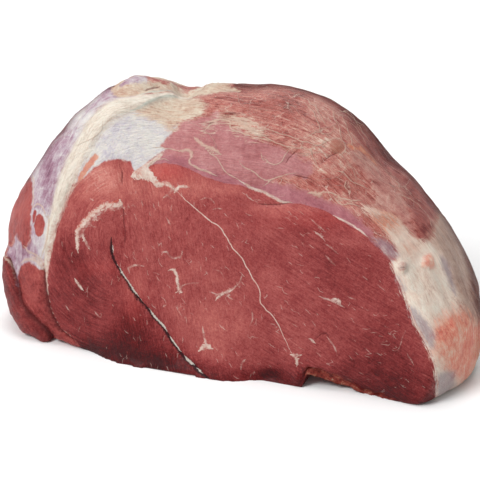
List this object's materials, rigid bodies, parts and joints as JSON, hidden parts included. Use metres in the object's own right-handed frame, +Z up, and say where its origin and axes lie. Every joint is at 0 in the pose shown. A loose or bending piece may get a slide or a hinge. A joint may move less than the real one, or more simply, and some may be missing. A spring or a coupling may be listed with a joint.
{
  "type": "peeled beef knuckle",
  "caption": "Whole boneless beef knuckle, peeled: a rounded muscle bundle with a knife-cut face, silverskin, a tendon band and an open seam.",
  "frame": {"origin": "middle of the bounding box on the plane that the piece lies on", "axes": "+X along the piece from the flap end to the thick fascia end, +Z up, and the knife-cut face looks along -Y"},
  "size_m": [0.2999, 0.1764, 0.1525],
  "materials": {
    "raw_meat": "moist raw lean meat with patches of silverskin"
  },
  "bodies": {
    "root": {"knuckle": "raw_meat"}
  },
  "joints": []
}
